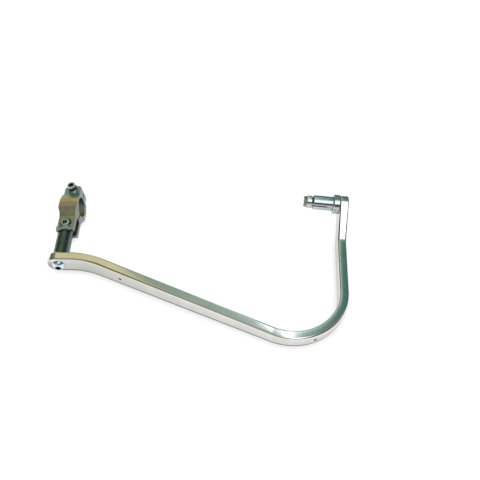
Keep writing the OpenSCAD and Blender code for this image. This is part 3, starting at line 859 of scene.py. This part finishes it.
# Clamp halves
def clamp_half(sunk):
    """One half above the split plane, in the frame of the clamp, with its screw sunk to a height."""
    g = CLAMP_GAP / 2
    profile = rounded([(FAR_REACH, g, 0.4), (FAR_REACH, FAR_H - END_CHAMFER, 1.5),
                       (FAR_REACH - END_CHAMFER, FAR_H, 1.5), (FAR_SCREW - WASHER_R - 0.4, FAR_H, 1.2),
                       (CROWN_FAR, CROWN_H, 3), (-CROWN_NEAR, CROWN_H, 3), (-LIP_REACH, NEAR_H, 3),
                       (-NEAR_REACH, NEAR_H, 0.5), (-NEAR_REACH, TONGUE_T / 2, 0.3),
                       (-LIP_REACH, TONGUE_T / 2, 0.3), (-LIP_REACH, g, 0.3)], closed=True)
    side = prism(profile, -CLAMP_W / 2, CLAMP_W / 2)
    side.transform(Matrix(((0, 0, 1, 0), (1, 0, 0, 0), (0, 1, 0, 0), (0, 0, 0, 1))))
    w, v, c = CLAMP_W / 2, CLAMP_W / 2 - LUG_INSET, CORNER_CHAMFER
    right = [(v, -NEAR_REACH, 0.8), (v, -CHEEK_END, 3), (w, -CHEEK, 3), (w, CHEEK, 3), (v, CHEEK_END, 3),
             (v, FAR_REACH - c - 1, 3), (v - c, FAR_REACH, 2)]
    outline = rounded(right + [(-x, y, r) for x, y, r in reversed(right)], closed=True)
    body = combined(side, "INTERSECT", prism(outline, 0, 2 * CROWN_H))
    toward_tube = move(-CLAMP_SHIFT, 0, 0) @ turn("X", 90)
    arch = lathe([(0, 0), (SOCKET_R, 0), (SOCKET_R, NEAR_REACH - 2), (SOCKET_R - 2, NEAR_REACH),
                  (0, NEAR_REACH)], FINE_STEPS)
    keep = box(-w, w, -NEAR_REACH - 0.01, -NEAR_REACH + ARCH_LEN, TONGUE_T / 2, 2 * CROWN_H)
    body = combined(body, "UNION", combined(placed(arch, toward_tube), "INTERSECT", keep))
    bore = lathe([(0, -w - 1), (BORE_R + 1.7, -w - 1), (BORE_R, -w + 0.7), (BORE_R, w - 0.7),
                  (BORE_R + 1.7, w + 1), (0, w + 1)], 160)
    tube = cylinder(TUBE_R, TUBE_SHOULDER, NEAR_REACH + 1, FINE_STEPS)
    near = lathe([(0, -1), (SCREW_HOLE_R, -1), (SCREW_HOLE_R, sunk), (COUNTERBORE_R, sunk),
                  (COUNTERBORE_R, 2 * CROWN_H), (0, 2 * CROWN_H)])
    far = cylinder(SCREW_HOLE_R, -1, 2 * CROWN_H)
    body = cut(body, placed(bore, turn("Y", 90)), placed(tube, toward_tube),
               placed(near, move(NEAR_SCREW_SHIFT - CLAMP_SHIFT, -NEAR_SCREW, 0)),
               placed(far, move(0, FAR_SCREW, 0)))
    return softened(body, CAST_VOXEL, CAST_PASSES)


flip = Matrix.Scale(-1, 4, (0, 0, 1))
upper, lower = placed(clamp_half(NEAR_SEAT), CLAMP), placed(clamp_half(NEAR_H), CLAMP @ flip)
new_object("clamp_top_half", upper, CLAMP_METAL, "clamp", ["clamp_upper"], 180)
new_object("clamp_bottom_half", lower, CLAMP_METAL, "clamp", ["clamp_lower"], 180)


# Bar end plug, along Z of its frame, with the bar above zero
def collar():
    low = -COLLAR_T
    return lathe(rounded([(BOLT_HOLE_R, low, 0.1), (COLLAR_R - 0.6, low, 0.3), (COLLAR_R, low + 0.6, 0.4),
                          (COLLAR_R, 0, 0.25), (BOLT_HOLE_R, 0, 0.1)], closed=True, steps=3), FINE_STEPS)


def sleeve():
    """Sleeve with a tapered mouth for the nut's cone and two saw cuts across it."""
    low = SLEEVE_LOW
    slope = (CONE_ROOT - CONE_TIP) / (CONE_GAP + CONE_DEPTH)
    deep = low + CONE_DEPTH
    mouth = CONE_ROOT - slope * CONE_GAP
    line = rounded([(mouth, low, 0.15), (SLEEVE_R - 0.5, low, 0.1), (SLEEVE_R, low + 0.5, 0.3),
                    (SLEEVE_R, -COLLAR_T, 0), (BOLT_HOLE_R, -COLLAR_T, 0), (BOLT_HOLE_R, deep, 0),
                    (CONE_TIP, deep, 0)], closed=True, steps=3)
    body = lathe(line, FINE_STEPS)
    saws = []
    for a in (45, 135):
        saw = box(-2 * SLEEVE_R, 2 * SLEEVE_R, -SAW_CUT / 2, SAW_CUT / 2, low - 1, low + SAW_LEN)
        saws.append(placed(saw, turn("Z", a)))
    return cut(body, *saws)


def cone_nut():
    low = CONE_LOW
    inner = BOLT_R + THREAD_CLEAR
    high = low + CONE_RIM + CONE_GAP + CONE_DEPTH
    line = rounded([(inner + 0.4, low, 0.1), (CONE_R - 0.5, low, 0.2), (CONE_R, low + 0.5, 0.3),
                    (CONE_R, low + CONE_RIM, 0.3), (CONE_ROOT, low + CONE_RIM, 0), (CONE_TIP, high, 0),
                    (inner, high, 0), (inner, low + 0.4, 0.1)], closed=True, steps=3)
    return lathe(line, FINE_STEPS)


def end_bolt():
    """Countersunk bolt that ends half a millimetre past the plate."""
    face = BAR_W - SINK_FACE
    depth = SINK_R - BOLT_R
    low = PLATE_LOW - 0.5
    floor_z = face - 2.6
    line = [(0, low), (BOLT_R - 0.6, low), (BOLT_R, low + 0.4), (BOLT_R, face - depth)]
    line += rounded([(BOLT_R, face - depth, 0), (SINK_R, face - 0.05, 0.2), (SINK_R - 0.25, face, 0.1),
                     (0, face, 0)], steps=3)[1:]
    body = cut(lathe(line, FINE_STEPS), *socket(SCREW_KEY, floor_z, face))
    return darkened(body, SCREW_DARK_R, floor_z, face - 0.01)


def lock_plate():
    low, high = PLATE_LOW, PLATE_LOW + PLATE_T
    inner = BOLT_R + THREAD_CLEAR
    return lathe(rounded([(inner, low, 0.1), (PLATE_R - 0.4, low, 0.15), (PLATE_R, low + 0.4, 0.25),
                          (PLATE_R, high, 0.15), (inner, high, 0.1)], closed=True, steps=3), FINE_STEPS)


new_object("plug_collar", placed(collar(), PLUG), PLUG_METAL, "plug", ["end_collar"])
new_object("plug_sleeve", placed(sleeve(), PLUG), PLUG_METAL, "plug", ["expander_sleeve"])
new_object("plug_cone", placed(cone_nut(), PLUG), PLUG_METAL, "plug", ["cone_nut"])
new_object("countersunk_bolt", placed(end_bolt(), PLUG), STEEL, "bright_steel", ["end_bolt"])
new_object("plug_plate", placed(lock_plate(), PLUG), PLATE_METAL, "plate", ["lock_plate"])


# Floor, on which the guard rests a little tilted
FLOOR_NORMAL = Vector((-0.01832918, 0.01562692, 0.99970988))
FLOOR_OFFSET = -16.25 * MM
FLOOR_HALF_SIDE = 40


def floor_look():
    """White that glows like the lit floor of a light tent, with a painted shadow that makes it a little
    darker under and beside the guard.
    """
    material = bpy.data.materials.new("floor white")
    material.use_nodes = True
    k = Nodes(material.node_tree)
    out = k.add("ShaderNodeOutputMaterial")
    glow = k.add("ShaderNodeEmission")
    shade = k.add("ShaderNodeBsdfDiffuse")
    shade.inputs["Color"].default_value = (0.3, 0.3, 0.3, 1)
    # Painted shadow: the glow dims where the guard is near, over a wide reach
    glow_with_wide_shadow = k.maths("ADD", 0.4, k.maths("MULTIPLY", k.maths("POWER", k.openness(50), 1.5), 0.58))
    # As the picture shows it, the floor never falls below this, and only the contact itself is dark
    # Painted contact shadow: the glow that the camera sees dims close to the guard
    glow_with_contact_shadow = k.maths("ADD", 0.64, k.maths("MULTIPLY", k.openness(7), 0.3))
    path = k.add("ShaderNodeLightPath")
    glow_with_contact_shadow = k.maths("MULTIPLY", path.outputs["Is Camera Ray"], glow_with_contact_shadow)
    k.link(k.maths("MAXIMUM", glow_with_wide_shadow, glow_with_contact_shadow), glow.inputs["Strength"])
    both = k.add("ShaderNodeAddShader")
    k.link(glow.outputs[0], both.inputs[0])
    k.link(shade.outputs[0], both.inputs[1])
    k.link(both.outputs[0], out.inputs["Surface"])
    return material


up = FLOOR_NORMAL.normalized()
right = up.cross(Vector((0, 1, 0))).normalized()
ahead = up.cross(right)
corners = [up * FLOOR_OFFSET + right * x * FLOOR_HALF_SIDE + ahead * y * FLOOR_HALF_SIDE
           for x, y in ((-1, -1), (1, -1), (1, 1), (-1, 1))]
floor_mesh = bpy.data.meshes.new("floor")
floor_mesh.from_pydata(corners, [], [(0, 1, 2, 3)])
floor_mesh.materials.append(floor_look())
floor = bpy.data.objects.new("floor", floor_mesh)
bpy.context.scene.collection.objects.link(floor)


# Surroundings of a light tent: warm to the left, teal to the right, a bright strip overhead
def surroundings():
    """World whose colours go by the place from left to right and by the angle over the top.

    The stops were fitted over many renders, so that the guard reflects about the colours
    that were measured in the photograph at points along it.
    """
    world = bpy.data.worlds.new("studio")
    bpy.context.scene.world = world
    world.use_nodes = True
    k = Nodes(world.node_tree)
    out = k.add("ShaderNodeOutputWorld")
    sky = k.add("ShaderNodeBackground")
    x, y, z = k.split(k.add("ShaderNodeTexCoord").outputs["Generated"])
    # From the left at 0 to the right at 1
    across = k.maths("MULTIPLY", k.maths("ADD", x, 1.0), 0.5)

    def at(v):
        return (v + 1) / 2

    rear = k.ramp(across,
                  (at(-0.95), linear(84, 80, 62)), (at(-0.55), linear(140, 136, 108)),
                  (at(-0.36), linear(208, 201, 158)), (at(-0.182), linear(224, 215, 170)),
                  (at(-0.14), linear(146, 161, 142)), (at(-0.06), linear(153, 175, 163)),
                  (at(0.03), linear(160, 180, 174)), (at(0.084), linear(176, 196, 194)),
                  (at(0.098), (2.0, 2.03, 2.06, 1)), (at(0.11), (2.0, 2.03, 2.06, 1)),
                  (at(0.122), linear(150, 185, 188)), (at(0.155), linear(122, 160, 156)),
                  (at(0.19), linear(74, 122, 114)), (at(0.4), linear(78, 118, 109)),
                  (at(0.6), linear(86, 82, 94)))
    strip = k.ramp(across,
                   (at(-0.8), linear(60, 58, 46)), (at(-0.45), linear(84, 82, 66)),
                   (at(-0.25), linear(150, 146, 126)), (at(-0.05), linear(196, 190, 176)),
                   (at(0.11), (1.8, 1.85, 1.9, 1)), (at(0.3), (1.8, 1.85, 1.9, 1)),
                   (at(0.5), linear(86, 82, 94)))
    dark = k.ramp(across,
                  (at(-0.95), linear(60, 62, 52)), (at(-0.65), linear(150, 146, 126)),
                  (at(-0.38), linear(196, 194, 182)), (at(-0.1), linear(120, 122, 112)),
                  (at(0.12), linear(58, 68, 72)), (at(0.35), linear(86, 82, 92)))
    # Over the top, from the rear horizon at 0 to the front horizon at 1
    over = k.maths("DIVIDE", k.maths("ARCTAN2", z, y), math.pi)

    def deg(v):
        return v / 180

    low_rear = k.mix(k.ramp(over, (deg(8), 0.0), (deg(48), 1.0)), linear(84, 112, 108), rear)
    late = k.maths("MULTIPLY", k.ramp(over, (deg(60), 0.0), (deg(72), 1.0)),
                   k.ramp(across, (at(0.165), 0.0), (at(0.18), 1.0)))
    low_rear = k.mix(late, low_rear, linear(150, 142, 116))
    early = k.maths("MULTIPLY", k.ramp(over, (deg(68), 0.0), (deg(80), 1.0)),
                    k.ramp(across, (at(-0.4), 1.0), (at(-0.33), 0.0)))
    low_rear = k.mix(early, low_rear, linear(84, 80, 60))
    top = k.mix(k.ramp(over, (deg(82), 0.0), (deg(100), 1.0)), low_rear, strip)
    middle = k.mix(k.ramp(over, (deg(127), 0.0), (deg(138), 1.0)), top, dark)
    whole = k.mix(k.ramp(over, (deg(157), 0.0), (deg(166), 1.0)), middle, linear(218, 216, 212))
    path = k.add("ShaderNodeLightPath")
    k.link(k.mix(path.outputs["Is Camera Ray"], whole, (1, 1, 1, 1)), sky.inputs["Color"])
    sky.inputs["Strength"].default_value = 1
    k.link(sky.outputs[0], out.inputs[0])


surroundings()

# Camera at the photograph's angle
camera_data = bpy.data.cameras.new("camera")
camera_data.lens = 40.878
camera_data.sensor_width = 36
camera = bpy.data.objects.new("camera", camera_data)
camera.matrix_world = Matrix(((0.995804, -0.091419, -0.004038, 0.194412),
                              (0.070908, 0.798765, -0.59745, -0.395012),
                              (0.057844, 0.594657, 0.801896, 0.497634), (0, 0, 0, 1)))
bpy.context.scene.collection.objects.link(camera)
bpy.context.scene.camera = camera
bpy.context.scene.view_settings.view_transform = "Standard"

bpy.context.view_layer.update()
